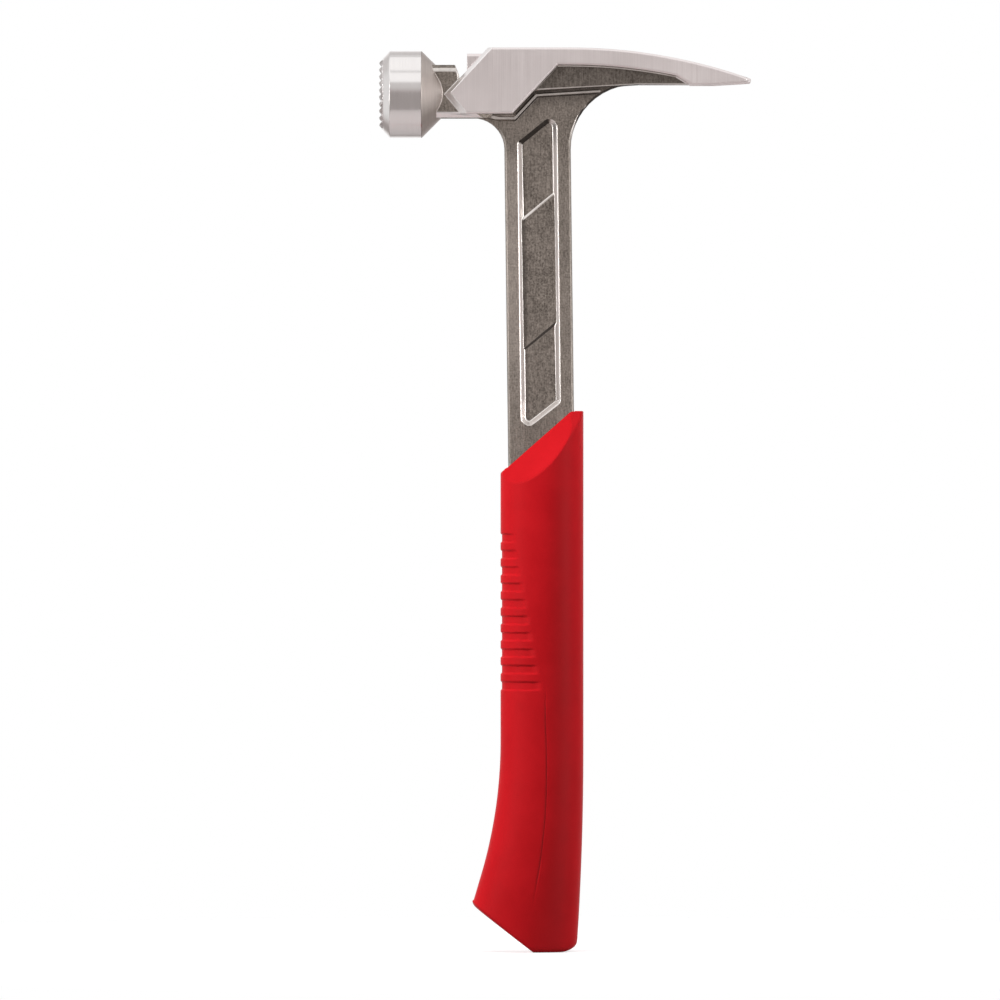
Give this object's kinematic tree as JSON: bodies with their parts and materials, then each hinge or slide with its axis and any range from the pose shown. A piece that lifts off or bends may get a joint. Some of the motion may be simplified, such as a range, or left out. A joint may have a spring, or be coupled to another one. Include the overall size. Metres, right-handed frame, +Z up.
{
  "type": "framing hammer",
  "caption": "One-piece forged steel framing hammer with a milled face, straight rip claw, magnetic nail setter, I-beam shank and a ribbed soft grip.",
  "frame": {"origin": "on the handle's axis, at the lowest point of the butt", "axes": "+Z up along the handle to the head, +X towards the claw, -X towards the milled face, Y across the head"},
  "size_m": [0.1566, 0.0366, 0.381],
  "materials": {
    "steel": "forged, with polished poll, cheeks and claw",
    "magnet": "nickel plated",
    "core": "moulded",
    "grip": "satin moulded"
  },
  "bodies": {
    "root": {"forging": "steel", "nail_magnet": "magnet", "grip_core": "core", "grip_skin": "grip"}
  },
  "joints": []
}
